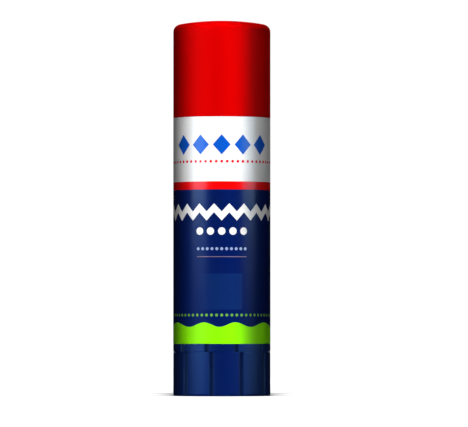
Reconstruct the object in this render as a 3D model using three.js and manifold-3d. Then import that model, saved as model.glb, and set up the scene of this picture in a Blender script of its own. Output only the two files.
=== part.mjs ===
// Glue stick: a twist-up stick of adhesive in a round moulded barrel with a push-on cap.
// Millimetres, +Z up. The origin is the centre of the knob's underside, on the surface it stands on.
// The front of the label faces -Y.
//
// The knob and the spindle are pressed together through the barrel's floor, so they turn as one.
// The spindle is a left-handed lead screw. It drives the carrier, which six ribs in the bore keep
// from turning, and the carrier pushes the glue out of the barrel's mouth. Turning the knob
// clockwise, seen from below, raises the glue.

import * as THREE from "three";
import { mergeVertices } from "three/addons/utils/BufferGeometryUtils.js";
import Module from "manifold-3d";

const wasm = await Module();
wasm.setup();

// Sizes that several pieces share
const outsideRadius = 12.5; // cap, label, collar and knob are flush with each other
const seatGap = 0.3; // clearance wherever two pieces touch, slide or turn
const roundFacets = 60; // sides of every large round, a multiple of the flutes and of the ribs
const innerFacets = 24; // sides of hubs and bores near the axis
const fluteFacets = 12; // sides of the round cutter that makes a flute
const mergeDistance = 1e-4; // vertices closer than this are one
const edgeBreak = 0.25; // small bevel on moulded rims

// Grip flutes, on the knob and on the barrel's collar
const fluteCount = 10;
const fluteWidth = 1.3;
const collarFluteDepth = 0.35;
const upperFluteDepth = 0.45;
const lowerFluteDepth = 0.32;
const collarFluteTurn = -18; // degrees from the front to the first groove
const knobFluteTurn = -12;

// Knob
const knobHeight = 11.05;
const lowerGripHeight = 7.05;
const gripStep = 0.1; // how far the upper grip ring is set in from the lower one
const knobWall = 1.5;
const knobFloor = 1.4;
const footWidth = 3.1; // flat ring that the stick stands on
const footRecess = 0.5;
const knobFootRound = 0.6;
const hubRadius = 4.4;
const knobRibCount = 5;
const knobRibThickness = 1;
const knobRibHeight = 5;

// Barrel
const collarHeight = 1.95;
const floorThickness = 1.4;
const spigotDepth = 2.6;
const spigotWall = 1.2;
const shoulderHeight = 57.9; // from the collar to the shoulder, which is where the label goes
const neckHeight = 17.4;
const neckWall = 0.8;
const mouthRound = 0.4;
const beadProud = 0.15;
const beadHeight = 4; // from the shoulder to the middle of the snap bead
const beadHalfWidth = 0.5;
const beadCrest = 0.3; // flat top of the bead, as a length along the neck
const ribCount = 6;
const ribWidth = 0.8;
const ribProud = 0.45;
const ribStop = 4; // from the top of the ribs to the mouth
const ribRunOut = 1.2;

// Label
const labelFilm = 0.1;
const labelGap = 0.05; // adhesive between the film and the barrel, and between the film's two ends
const labelMargin = 0.12; // from the film's edges to the collar and to the shoulder
const labelOverlap = 12; // degrees by which the ends overlap at the back
const labelClimb = 6; // degrees in which the outer end climbs over the inner one

// Cap
const capWall = 1;
const capTop = 1.2;
const capHeight = 24.9;
const crownRise = 0.9; // from the flat ceiling's corner to the middle of the domed top
const capCornerRound = 1.8;
const plugWall = 0.8;
const plugReach = 1; // how far the sealing ring goes into the mouth
const plugLeadIn = 1.2;
const plugTaper = 0.3;
const capRibCount = 6;
const capRibThickness = 0.8;

// Spindle, a single-start lead screw
const screwLead = 4;
const screwCore = 2.3;
const screwCrest = 3.5;
const screwRootWidth = 1.7;
const screwCrestWidth = 1.2;
const screwFacets = 16; // to one turn
const screwTip = 1.5; // run-in and run-out of the thread, as a height
const tipRadius = 1.2;
const flangeRadius = 5;
const flangeThickness = 1;
const threadRelief = 0.6; // plain length between the flange and the first thread
const journalRadius = 2.6;
const splineCount = 8;
const splineCrest = 2.5;
const splineRoot = 2.1;
const splineLand = 0.25; // share of the pitch that a crest or a root takes
const splineGap = 0.12; // modelled clearance of the press fit

// Carrier
const carrierStop = 4; // from the raised carrier's rim to the mouth
const skirtHeight = 9;
const skirtWall = 0.9;
const lipHeight = 0.8;
const lipProud = 0.2;
const carrierDisc = 1.2;
const discRise = 2.8; // from the skirt's foot to the underside of the disc
const nutWall = 1.1;
const nutHeight = 7.1;
const threadClearance = 0.35; // across the thread, between the screw and the nut
const threadPlay = 0.5; // along the axis, on each flank
const finCount = 4;
const finThickness = 0.9;
const finHeight = 3;
const finTurn = 45; // degrees from the front to the first fin

// Glue
const glueBelowMouth = 2;
const glueCrown = 0.3;
const glueEdgeRound = 1;
const glueOverTip = 0.6; // from the spindle's tip to the top of the hole that it leaves in the glue

// Heights of the stack, from the surface up
const collarBottom = knobHeight + seatGap;
const collarTop = collarBottom + collarHeight;
const floorTop = collarTop;
const floorUnderside = floorTop - floorThickness;
const shoulder = collarTop + shoulderHeight;
const mouth = shoulder + neckHeight;
const capBottom = shoulder + seatGap;
const capCrown = capBottom + capHeight;
const flangeTop = floorTop + seatGap + flangeThickness;
const carrierBottom = floorTop + seatGap;
const nutBottom = flangeTop + seatGap;
const discTop = carrierBottom + discRise + carrierDisc;
const carrierTravel = mouth - carrierStop - carrierBottom - skirtHeight;
const threadStart = flangeTop + threadRelief;
const spindleTop = nutBottom + carrierTravel + screwLead + screwTip;
const glueTop = mouth - glueBelowMouth;

// Radii of the nest, from the outside in
const capBore = outsideRadius - capWall;
const neckRadius = capBore - seatGap;
const boreRadius = neckRadius - neckWall;
const pistonRadius = boreRadius - seatGap;
const upperGripRadius = outsideRadius - gripStep;
const knobBore = upperGripRadius - knobWall;
const spigotRadius = knobBore - seatGap;
const labelSeat = outsideRadius - labelFilm - labelGap;
const nutRadius = screwCrest + threadClearance + nutWall;

// Points on an arc in the profile plane, from one angle to another in degrees
function arc(centreRadius, centreHeight, radius, fromAngle, toAngle, steps) {
  const points = [];
  for (let i = 0; i <= steps; i++) {
    const angle = THREE.MathUtils.degToRad(fromAngle + ((toAngle - fromAngle) * i) / steps);
    points.push([centreRadius + radius * Math.cos(angle), centreHeight + radius * Math.sin(angle)]);
  }
  return points;
}

// A closed body turned from a profile of [radius, height] points
function turned(profile, sides = roundFacets) {
  const points = profile.map(([radius, height]) => new THREE.Vector2(radius, height));
  return solid(new THREE.LatheGeometry(points, sides).rotateX(Math.PI / 2));
}

// The same, for a profile that goes round a hole and so closes on itself
function turnedRing(profile) {
  return turned([...profile, profile[0]]);
}

// An upright prism over an outline of [x, y] points
function prism(outline, bottom, top) {
  const shape = new THREE.Shape(outline.map(([x, y]) => new THREE.Vector2(x, y)));
  const geometry = new THREE.ExtrudeGeometry(shape, { depth: top - bottom, bevelEnabled: false });
  return solid(geometry.translate(0, 0, bottom));
}

// A plate that stands along a radius, drawn as an outline of [radius, height] points
function radialPlate(outline, thickness) {
  const shape = new THREE.Shape(outline.map(([radius, height]) => new THREE.Vector2(radius, height)));
  const geometry = new THREE.ExtrudeGeometry(shape, { depth: thickness, bevelEnabled: false });
  return solid(geometry.translate(0, 0, -thickness / 2).rotateX(Math.PI / 2));
}

// A radial plate with square corners
function radialBar(fromRadius, toRadius, bottom, top, thickness) {
  const outline = [
    [fromRadius, bottom],
    [toRadius, bottom],
    [toRadius, top],
    [fromRadius, top],
  ];
  return radialPlate(outline, thickness);
}

// A three.js geometry as a solid that can be joined and cut
function solid(geometry) {
  const bare = geometry.index ? geometry.toNonIndexed() : geometry;
  bare.deleteAttribute("normal");
  bare.deleteAttribute("uv");
  const merged = mergeVertices(bare, mergeDistance);
  return new wasm.Manifold(
    new wasm.Mesh({
      numProp: 3,
      vertProperties: merged.attributes.position.array,
      triVerts: new Uint32Array(merged.index.array),
    }),
  );
}

// Copies of a solid, evenly spaced round the axis and joined into one
function spaced(one, count, firstAngle = 0) {
  const copies = [];
  for (let i = 0; i < count; i++) {
    copies.push(one.rotate([0, 0, firstAngle + (360 * i) / count]));
  }
  return wasm.Manifold.union(copies);
}

// Round-bottomed grooves cut down the outside of a grip
function fluteCutters(surfaceRadius, depth, bottom, top, firstAngle) {
  const cutterRadius = (fluteWidth ** 2 / 4 + depth ** 2) / (2 * depth);
  const cutter = new THREE.CylinderGeometry(cutterRadius, cutterRadius, top - bottom, fluteFacets)
    .rotateX(Math.PI / 2)
    .translate(0, -(surfaceRadius + cutterRadius - depth), (bottom + top) / 2);
  return spaced(solid(cutter), fluteCount, firstAngle);
}

// The guide ribs' room in whatever slides past them
function ribChannels(bottom, top) {
  const channel = radialBar(
    boreRadius - ribProud - seatGap,
    boreRadius + seatGap,
    bottom,
    top,
    ribWidth + 2 * seatGap,
  );
  return spaced(channel, ribCount);
}

// A splined outline, for the spindle's stub and, with clearance, for the knob's socket
function splineOutline(clearance = 0) {
  const pitch = (2 * Math.PI) / splineCount;
  const points = [];
  for (let i = 0; i < splineCount; i++) {
    [
      [splineRoot, splineLand - 1],
      [splineCrest, -splineLand],
      [splineCrest, splineLand],
      [splineRoot, 1 - splineLand],
    ].forEach(([radius, halfPitches]) => {
      const angle = pitch * (i + halfPitches / 2);
      points.push([(radius + clearance) * Math.cos(angle), (radius + clearance) * Math.sin(angle)]);
    });
  }
  return points;
}

// A rod with the left-handed thread, longer at both ends than asked so that it can be trimmed.
// With clearance across the thread and play along it, it is the tap that cuts the nut.
function threadedRod(bottom, top, clearance = 0, play = 0) {
  const section = [
    [screwCore + clearance, -screwRootWidth / 2 - play],
    [screwCrest + clearance, -screwCrestWidth / 2 - play],
    [screwCrest + clearance, screwCrestWidth / 2 + play],
    [screwCore + clearance, screwRootWidth / 2 + play],
    [screwCore + clearance, screwLead - screwRootWidth / 2 - play],
  ];
  const corners = section.length;
  const rise = screwLead / screwFacets;
  const first = Math.floor((bottom - threadStart) / rise) - 2 * screwFacets;
  const last = Math.ceil((top - threadStart) / rise) + screwFacets;
  const positions = [];
  for (let i = first; i <= last; i++) {
    const angle = (-2 * Math.PI * i) / screwFacets;
    section.forEach(([radius, offset]) => {
      const height = threadStart + rise * i + offset;
      positions.push(radius * Math.sin(angle), -radius * Math.cos(angle), height);
    });
  }
  const rings = last - first;
  const faces = [];
  for (let ring = 0; ring < rings; ring++) {
    for (let k = 0; k < corners - 1; k++) {
      const a = ring * corners + k;
      faces.push(a, a + 1, a + 1 + corners, a, a + 1 + corners, a + corners);
    }
  }
  const lowEnd = positions.length / 3;
  const highEnd = lowEnd + 1;
  positions.push(0, 0, threadStart + rise * first + screwLead / 2);
  positions.push(0, 0, threadStart + rise * last + screwLead / 2);
  for (let i = 0; i < screwFacets; i++) {
    const low = i * corners;
    const high = (rings - screwFacets + i) * corners + corners - 1;
    faces.push(lowEnd, low, low + corners);
    faces.push(highEnd, high + corners, high);
  }
  for (let k = 0; k < corners - 1; k++) {
    const high = rings * corners + k;
    faces.push(lowEnd, k + 1, k);
    faces.push(highEnd, high, high + 1);
  }
  const rod = new THREE.BufferGeometry();
  rod.setAttribute("position", new THREE.Float32BufferAttribute(positions, 3));
  rod.setIndex(faces);
  return solid(rod);
}

// Red push-on cap: a domed cup with a sealing ring that plugs the mouth, tied to the wall by gussets
function capSolid() {
  const ceiling = capCrown - crownRise - capTop;
  const plugRadius = pistonRadius;
  const plugInside = plugRadius - plugWall;
  const plugEnd = mouth - plugReach;
  const beadMiddle = shoulder + beadHeight;
  const domeRadius = (outsideRadius ** 2 + crownRise ** 2) / (2 * crownRise);
  const cornerCentre = outsideRadius - capCornerRound;
  const domeCentre = capCrown - domeRadius;
  const cornerHeight = domeCentre + Math.sqrt((domeRadius - capCornerRound) ** 2 - cornerCentre ** 2);
  const domeStart = THREE.MathUtils.radToDeg(Math.atan2(cornerHeight - domeCentre, cornerCentre));
  const shell = turned([
    [0, ceiling],
    [plugInside, ceiling],
    [plugInside, plugEnd],
    [plugRadius - plugTaper, plugEnd],
    [plugRadius, plugEnd + plugLeadIn],
    [plugRadius, ceiling],
    [capBore, ceiling],
    [capBore, beadMiddle + beadHalfWidth],
    [capBore + beadProud, beadMiddle + beadCrest / 2],
    [capBore + beadProud, beadMiddle - beadCrest / 2],
    [capBore, beadMiddle - beadHalfWidth],
    [capBore, capBottom + 2 * edgeBreak],
    [capBore + edgeBreak, capBottom],
    [outsideRadius - edgeBreak, capBottom],
    [outsideRadius, capBottom + edgeBreak],
    ...arc(cornerCentre, cornerHeight, capCornerRound, 0, domeStart, 4),
    ...arc(0, domeCentre, domeRadius, domeStart, 90, 3).slice(1, -1),
    [0, capCrown],
  ]);
  const gusset = radialBar(
    plugRadius - plugWall / 2,
    capBore + capWall / 2,
    mouth + seatGap,
    ceiling + capTop / 2,
    capRibThickness,
  );
  return shell.add(spaced(gusset, capRibCount));
}

// Navy barrel: spigot, fluted collar, label seat, shoulder and neck, with a floor and ribs in its bore
function barrelSolid() {
  const spigotBottom = collarBottom - spigotDepth;
  const spigotInside = spigotRadius - spigotWall;
  const bearingRadius = journalRadius + seatGap;
  const beadMiddle = shoulder + beadHeight;
  const tube = turnedRing([
    [spigotInside, spigotBottom],
    [spigotRadius - edgeBreak, spigotBottom],
    [spigotRadius, spigotBottom + edgeBreak],
    [spigotRadius, collarBottom],
    [outsideRadius - edgeBreak, collarBottom],
    [outsideRadius, collarBottom + edgeBreak],
    [outsideRadius, collarTop],
    [labelSeat, collarTop],
    [labelSeat, shoulder],
    [neckRadius, shoulder],
    [neckRadius, beadMiddle - beadHalfWidth],
    [neckRadius + beadProud, beadMiddle - beadCrest / 2],
    [neckRadius + beadProud, beadMiddle + beadCrest / 2],
    [neckRadius, beadMiddle + beadHalfWidth],
    ...arc(neckRadius - mouthRound, mouth - mouthRound, mouthRound, 0, 90, 3),
    [boreRadius + edgeBreak, mouth],
    [boreRadius, mouth - edgeBreak],
    [boreRadius, floorTop],
    [bearingRadius, floorTop],
    [bearingRadius, floorUnderside],
    [spigotInside, floorUnderside],
  ]);
  const ribTop = mouth - ribStop;
  const rib = radialPlate(
    [
      [boreRadius + neckWall / 2, floorTop - floorThickness / 2],
      [boreRadius + neckWall / 2, ribTop],
      [boreRadius, ribTop],
      [boreRadius - ribProud, ribTop - ribRunOut],
      [boreRadius - ribProud, floorTop - floorThickness / 2],
    ].reverse(),
    ribWidth,
  );
  const flutes = fluteCutters(
    outsideRadius,
    collarFluteDepth,
    collarBottom - fluteWidth,
    collarTop,
    collarFluteTurn,
  );
  return tube.add(spaced(rib, ribCount)).subtract(flutes);
}

// Printed film, wound once round the barrel, whose outer end climbs over its inner one at the back
function labelSolid() {
  const stepAngle = 360 / roundFacets;
  const steps = roundFacets + Math.round(labelOverlap / stepAngle);
  const inside = [];
  const outside = [];
  for (let i = 0; i <= steps; i++) {
    const angle = i * stepAngle;
    const climbed = THREE.MathUtils.smoothstep(angle, 360 - labelClimb, 360);
    const radius = labelSeat + labelGap + climbed * (labelFilm + labelGap);
    const around = THREE.MathUtils.degToRad(angle + 90);
    inside.push([radius * Math.cos(around), radius * Math.sin(around)]);
    outside.push([(radius + labelFilm) * Math.cos(around), (radius + labelFilm) * Math.sin(around)]);
  }
  return prism([...outside, ...inside.reverse()], collarTop + labelMargin, shoulder - labelMargin);
}

// Navy knob: a cup with two fluted grip rings, a foot ring, radial ribs and the spindle's splined hub
function knobSolid() {
  const floorInside = footRecess + knobFloor;
  const footInside = outsideRadius - knobFootRound - footWidth;
  const hubTop = floorUnderside - seatGap;
  const cup = turned([
    [0, footRecess],
    [footInside - footRecess, footRecess],
    [footInside, 0],
    ...arc(outsideRadius - knobFootRound, knobFootRound, knobFootRound, -90, 0, 3),
    [outsideRadius, lowerGripHeight],
    [upperGripRadius, lowerGripHeight + gripStep],
    [upperGripRadius, knobHeight - edgeBreak],
    [upperGripRadius - edgeBreak, knobHeight],
    [knobBore, knobHeight],
    [knobBore, floorInside],
    [0, floorInside],
  ]);
  const hub = turned(
    [
      [0, footRecess + knobFloor / 2],
      [hubRadius, footRecess + knobFloor / 2],
      [hubRadius, hubTop - edgeBreak],
      [hubRadius - edgeBreak, hubTop],
      [0, hubTop],
    ],
    innerFacets,
  );
  const rib = radialBar(
    hubRadius - edgeBreak,
    knobBore + knobWall / 3,
    floorInside - knobFloor / 2,
    floorInside + knobRibHeight,
    knobRibThickness,
  );
  const socket = prism(splineOutline(splineGap), floorInside, hubTop + seatGap);
  const lowerFlutes = fluteCutters(
    outsideRadius,
    lowerFluteDepth,
    -fluteWidth,
    lowerGripHeight + gripStep / 2,
    knobFluteTurn,
  );
  const upperFlutes = fluteCutters(
    upperGripRadius,
    upperFluteDepth,
    lowerGripHeight + gripStep / 2,
    knobHeight + fluteWidth,
    knobFluteTurn,
  );
  return cup
    .add(hub)
    .add(spaced(rib, knobRibCount))
    .subtract(socket)
    .subtract(lowerFlutes)
    .subtract(upperFlutes);
}

// Lead screw with its tip, relief, thrust flange, journal and the stub that is pressed into the knob
function spindleSolid() {
  const stubBottom = footRecess + knobFloor + seatGap;
  const hubTop = floorUnderside - seatGap;
  const flangeUnderside = flangeTop - flangeThickness;
  const shaft = turned(
    [
      [0, hubTop],
      [journalRadius, hubTop],
      [journalRadius, flangeUnderside],
      [flangeRadius, flangeUnderside],
      [flangeRadius, flangeTop],
      [screwCore, flangeTop],
      [screwCore, threadStart],
      [0, threadStart],
    ],
    screwFacets,
  );
  const threadEnvelope = turned(
    [
      [0, threadStart],
      [screwCore, threadStart],
      [screwCrest + seatGap, threadStart + screwTip],
      [screwCrest + seatGap, spindleTop - screwTip],
      [tipRadius, spindleTop],
      [0, spindleTop],
    ],
    screwFacets,
  );
  const thread = threadedRod(threadStart, spindleTop).intersect(threadEnvelope);
  const stub = prism(splineOutline(), stubBottom, hubTop + seatGap);
  return shaft.add(stub).add(thread);
}

// Carrier: a cup on a sliding skirt, with the nut in its middle and fins that hold the glue
function carrierSolid() {
  const skirtRadius = pistonRadius - lipProud;
  const skirtInside = skirtRadius - skirtWall;
  const skirtTop = carrierBottom + skirtHeight;
  const discUnderside = discTop - carrierDisc;
  const nutTop = nutBottom + nutHeight;
  const skirt = turned([
    [0, discUnderside],
    [skirtInside, discUnderside],
    [skirtInside, carrierBottom],
    [pistonRadius, carrierBottom],
    [pistonRadius, carrierBottom + lipHeight],
    [skirtRadius, carrierBottom + lipHeight + lipProud],
    [skirtRadius, skirtTop - lipHeight - lipProud],
    [pistonRadius, skirtTop - lipHeight],
    [pistonRadius, skirtTop],
    [skirtInside, skirtTop],
    [skirtInside, discTop],
    [0, discTop],
  ]);
  const nut = new THREE.CylinderGeometry(nutRadius, nutRadius, nutHeight, innerFacets)
    .rotateX(Math.PI / 2)
    .translate(0, 0, nutBottom + nutHeight / 2);
  const fin = radialBar(
    nutRadius - nutWall / 2,
    skirtInside + skirtWall / 2,
    discTop - carrierDisc / 2,
    discTop + finHeight,
    finThickness,
  );
  return skirt
    .add(solid(nut))
    .add(spaced(fin, finCount, finTurn))
    .subtract(threadedRod(nutBottom, nutTop, threadClearance, threadPlay))
    .subtract(ribChannels(carrierBottom - seatGap, skirtTop + seatGap));
}

// Glue: a stick with a rounded top, grooved by the ribs, cast into the carrier and round the screw
function glueSolid() {
  const cupInside = pistonRadius - lipProud - skirtWall - seatGap;
  const castBottom = discTop + seatGap;
  const rimClear = carrierBottom + skirtHeight + seatGap;
  const nutClear = nutBottom + nutHeight + seatGap;
  const edgeCentre = pistonRadius - glueEdgeRound;
  const stick = turned([
    [0, castBottom],
    [cupInside, castBottom],
    [cupInside, rimClear],
    [pistonRadius, rimClear],
    ...arc(edgeCentre, glueTop - glueCrown - glueEdgeRound, glueEdgeRound, 0, 90, 3),
    [edgeCentre / 2, glueTop - glueCrown / 4],
    [0, glueTop],
  ]);
  const core = turned(
    [
      [0, castBottom - seatGap],
      [nutRadius + seatGap, castBottom - seatGap],
      [nutRadius + seatGap, nutClear],
      [screwCrest + seatGap, nutClear],
      [screwCrest + seatGap, spindleTop - screwTip + glueOverTip],
      [tipRadius + seatGap, spindleTop + glueOverTip],
      [0, spindleTop + glueOverTip],
    ],
    innerFacets,
  );
  const finSlot = radialBar(
    nutRadius,
    pistonRadius,
    castBottom - seatGap,
    discTop + finHeight + seatGap,
    finThickness + 2 * seatGap,
  );
  return stick
    .subtract(core)
    .subtract(spaced(finSlot, finCount, finTurn))
    .subtract(ribChannels(castBottom - seatGap, glueTop + seatGap));
}

// A named mesh in its moulded colour
function piece(name, shape, colour, roughness) {
  const found = shape.getMesh();
  const geometry = new THREE.BufferGeometry();
  geometry.setAttribute("position", new THREE.BufferAttribute(found.vertProperties, 3));
  geometry.setIndex(new THREE.BufferAttribute(found.triVerts, 1));
  const flat = geometry.toNonIndexed();
  flat.computeVertexNormals();
  const material = new THREE.MeshStandardMaterial({ color: colour, roughness, metalness: 0 });
  const mesh = new THREE.Mesh(flat, material);
  mesh.name = name;
  return mesh;
}

const glueStick = new THREE.Group();
glueStick.add(
  piece("cap", capSolid(), 0xd80008, 0.35),
  piece("barrel", barrelSolid(), 0x04206a, 0.4),
  piece("label", labelSolid(), 0x03237a, 0.25),
  piece("knob", knobSolid(), 0x04206a, 0.4),
  piece("spindle", spindleSolid(), 0xe9e9e4, 0.5),
  piece("carrier", carrierSolid(), 0xefefe9, 0.5),
  piece("glue", glueSolid(), 0xf4f1e4, 0.55),
);

export default glueStick;
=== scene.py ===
import math

import bmesh
import bpy
from mathutils import Matrix, Vector


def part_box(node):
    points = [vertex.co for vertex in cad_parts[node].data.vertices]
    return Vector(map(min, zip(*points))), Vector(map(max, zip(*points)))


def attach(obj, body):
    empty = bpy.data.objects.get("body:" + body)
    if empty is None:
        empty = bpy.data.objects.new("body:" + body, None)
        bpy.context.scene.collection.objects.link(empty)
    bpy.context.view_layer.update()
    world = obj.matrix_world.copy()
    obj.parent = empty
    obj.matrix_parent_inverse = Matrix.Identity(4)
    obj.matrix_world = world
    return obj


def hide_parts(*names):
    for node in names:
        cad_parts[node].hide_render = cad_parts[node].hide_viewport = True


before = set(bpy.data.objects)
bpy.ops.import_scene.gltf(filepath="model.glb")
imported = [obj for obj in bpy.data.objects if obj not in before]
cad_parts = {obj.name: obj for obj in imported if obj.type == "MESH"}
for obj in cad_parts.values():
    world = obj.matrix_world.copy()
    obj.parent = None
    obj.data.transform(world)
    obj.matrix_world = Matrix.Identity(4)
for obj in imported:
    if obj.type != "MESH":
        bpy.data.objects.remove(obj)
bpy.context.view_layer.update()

mm = 0.001

# Camera
# It stands 1.3 m in front of the stick, a little above the table, with a long lens, and looks up by
# just over a degree. It is aimed a touch right of the stick, which leaves the stick left of the middle.
photo_width = 468
camera_distance = 1312 * mm
camera_height = 14.5 * mm
aim_height = 46.87 * mm
aim_right = 3.13 * mm
pixels_per_metre = 3888
camera_data = bpy.data.cameras.new("camera")
camera_data.sensor_width = 36
camera_data.lens = camera_data.sensor_width * pixels_per_metre * camera_distance / photo_width
camera_data.clip_end = 20
camera = bpy.data.objects.new("camera", camera_data)
camera.location = (aim_right, -camera_distance, camera_height)
camera.rotation_euler.x = math.radians(90) + math.atan2(aim_height - camera_height, camera_distance)
bpy.context.collection.objects.link(camera)
bpy.context.scene.camera = camera
bpy.context.scene.view_settings.view_transform = "Standard"

# Table and light
# A white sweep that runs out of sight in a dim white room. Narrow tubes stand close round the stick and
# model its round, two tall bluish soft boxes gleam on its gloss, a small spot lights the cap's crown from
# the front, and boxes overhead light the stick's top and the sweep.
sweep_radius = 6
glow_starts = 20 * mm
glow_full = 400 * mm
far_glow = 1.1
# A shadow is painted into the sweep's colour round the foot: how far it reaches, and the white in it and
# outside it
shade_reach = 12 * mm
shaded_white = 0.25
open_white = 0.8
backdrop_strength = 1.05
wall_strength = 0.05
wall_strength_in_gloss = 0.006
tube_middle = 50 * mm
tube_width = 6 * mm
tube_height = 300 * mm
soft_box_distance = 250 * mm
soft_box_middle = 170 * mm
soft_box_height = 220 * mm
soft_box_blue = (0.7, 0.86, 1)
crown_front = Vector((0, -4 * mm, 96 * mm))


def made(tree, kind, values=(), **settings):
    """A node with its settings, and its inputs by place or name, each a value or another's output."""
    node = tree.nodes.new(kind)
    for key, value in settings.items():
        setattr(node, key, value)
    for key, value in (values.items() if isinstance(values, dict) else enumerate(values)):
        if isinstance(value, bpy.types.NodeSocket):
            tree.links.new(value, node.inputs[key])
        else:
            node.inputs[key].default_value = value
    return node


sweep_mesh = bpy.data.meshes.new("sweep")
sweep_shape = bmesh.new()
bmesh.ops.create_circle(sweep_shape, cap_ends=True, segments=64, radius=sweep_radius)
sweep_shape.to_mesh(sweep_mesh)
sweep = bpy.data.objects.new("sweep", sweep_mesh)
bpy.context.collection.objects.link(sweep)
sweep_paint = bpy.data.materials.new("white sweep")
sweep_paint.use_nodes = True
sweep_tree = sweep_paint.node_tree
sweep_place = made(sweep_tree, "ShaderNodeTexCoord").outputs["Object"]
from_foot = made(sweep_tree, "ShaderNodeVectorMath", (sweep_place,), operation="LENGTH").outputs["Value"]
sweep_glow = made(sweep_tree, "ShaderNodeMapRange", {
    "Value": from_foot, "From Min": glow_starts, "From Max": glow_full, "To Min": 0, "To Max": far_glow})
# Painted shadow: the sweep's colour darkens where ambient occlusion finds the stick close by
near_foot = made(sweep_tree, "ShaderNodeAmbientOcclusion", {"Distance": shade_reach}, samples=8)
painted_contact_shadow = made(sweep_tree, "ShaderNodeMapRange", {
    "Value": near_foot.outputs["AO"], "From Min": 0.5, "To Min": shaded_white, "To Max": open_white})
sweep_shader = sweep_tree.nodes["Principled BSDF"]
sweep_shader.inputs["Roughness"].default_value = 0.9
sweep_shader.inputs["Specular IOR Level"].default_value = 0
sweep_shader.inputs["Emission Color"].default_value = (1, 1, 1, 1)
sweep_tree.links.new(painted_contact_shadow.outputs[0], sweep_shader.inputs["Base Color"])
sweep_tree.links.new(sweep_glow.outputs[0], sweep_shader.inputs["Emission Strength"])
sweep_mesh.materials.append(sweep_paint)
sweep.visible_diffuse = False
sweep.visible_glossy = False
sweep.visible_shadow = False

# The camera sees a bright backdrop behind the sweep, and the stick is lit by dim walls
room = bpy.data.worlds.new("room")
room.use_nodes = True
bpy.context.scene.world = room
room_tree = room.node_tree
ray = made(room_tree, "ShaderNodeLightPath").outputs
wall_glow = made(room_tree, "ShaderNodeMapRange", {
    "Value": ray["Is Glossy Ray"], "To Min": wall_strength, "To Max": wall_strength_in_gloss})
dim_walls = room_tree.nodes["Background"]
dim_walls.inputs["Color"].default_value = (1, 1, 1, 1)
room_tree.links.new(wall_glow.outputs[0], dim_walls.inputs["Strength"])
backdrop = made(room_tree, "ShaderNodeBackground", {"Color": (1, 1, 1, 1), "Strength": backdrop_strength})
backdrop_or_walls = made(room_tree, "ShaderNodeMixShader",
                         (ray["Is Camera Ray"], dim_walls.outputs[0], backdrop.outputs[0]))
room_tree.links.new(backdrop_or_walls.outputs[0], room_tree.nodes["World Output"].inputs["Surface"])

only_sweep = bpy.data.collections.new("only the sweep")
only_sweep.objects.link(sweep)
not_sweep = bpy.data.collections.new("all but the sweep")
not_sweep.objects.link(sweep)
not_sweep.collection_objects[0].light_linking.link_state = "EXCLUDE"


def lamp(name, azimuth, distance, middle, width, height, power, shines_on, spread=180, gleams=False):
    """An upright light aimed level at the stick's axis. Azimuth 0 is the camera's side.

    A light that gleams shows in the gloss alone. Any other light shows everywhere but in the gloss.
    """
    light = bpy.data.lights.new(name, "AREA")
    light.shape = "RECTANGLE"
    light.size = width
    light.size_y = height
    light.energy = power
    light.spread = math.radians(spread)
    light.cycles.use_multiple_importance_sampling = gleams
    stand = bpy.data.objects.new(name, light)
    around = math.radians(azimuth)
    stand.location = (distance * math.sin(around), -distance * math.cos(around), middle)
    inward = Vector((-math.sin(around), math.cos(around), 0))
    stand.rotation_euler = inward.to_track_quat("-Z", "Y").to_euler()
    stand.visible_camera = False
    stand.visible_glossy = gleams
    stand.visible_diffuse = not gleams
    stand.light_linking.receiver_collection = shines_on
    bpy.context.collection.objects.link(stand)
    return stand


for name, azimuth, distance, spread, power in (
        ("tube front", -5, 40 * mm, 180, 0.045),
        ("tube front left", -25, 40 * mm, 30, 0.0039),
        ("tube front right", 15, 26 * mm, 30, 0.0032),
        ("tube right", 65, 20 * mm, 30, 0.0006),
        ("tube side right", 130, 26 * mm, 180, 0.021),
        ("tube side left", -130, 26 * mm, 180, 0.021),
        ("tube back", 180, 26 * mm, 180, 0.012)):
    lamp(name, azimuth, distance, tube_middle, tube_width, tube_height, power, not_sweep, spread)

for name, azimuth, width, power in (
        ("soft box left", -55, 158 * mm, 1.9),
        ("soft box right", 66, 150 * mm, 1.3)):
    soft_box = lamp(name, azimuth, soft_box_distance, soft_box_middle, width, soft_box_height, power,
                    not_sweep, gleams=True)
    soft_box.data.color = soft_box_blue

crown_spot = lamp("crown spot", azimuth=-1, distance=40 * mm, middle=126 * mm, width=12 * mm, height=6 * mm,
                  power=0.00027, shines_on=not_sweep, spread=24)
crown_spot.rotation_euler = (crown_front - crown_spot.location).to_track_quat("-Z", "Y").to_euler()

# Square boxes above, aimed at the stick's foot
for name, distance, middle, size, power, shines_on in (
        ("overhead", 0, 1, 0.5, 0.6, not_sweep),
        ("sweep key", 0.2, 0.4, 0.04, 2.6, only_sweep),
        ("sweep top", 0, 1, 0.1, 1.8, only_sweep),
        ("sweep fill", 0, 1.5, 1.4, 0.8, only_sweep)):
    box_above = lamp(name, 0, distance, middle, size, size, power, shines_on)
    box_above.rotation_euler = (math.atan2(distance, middle), 0, 0)

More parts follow.
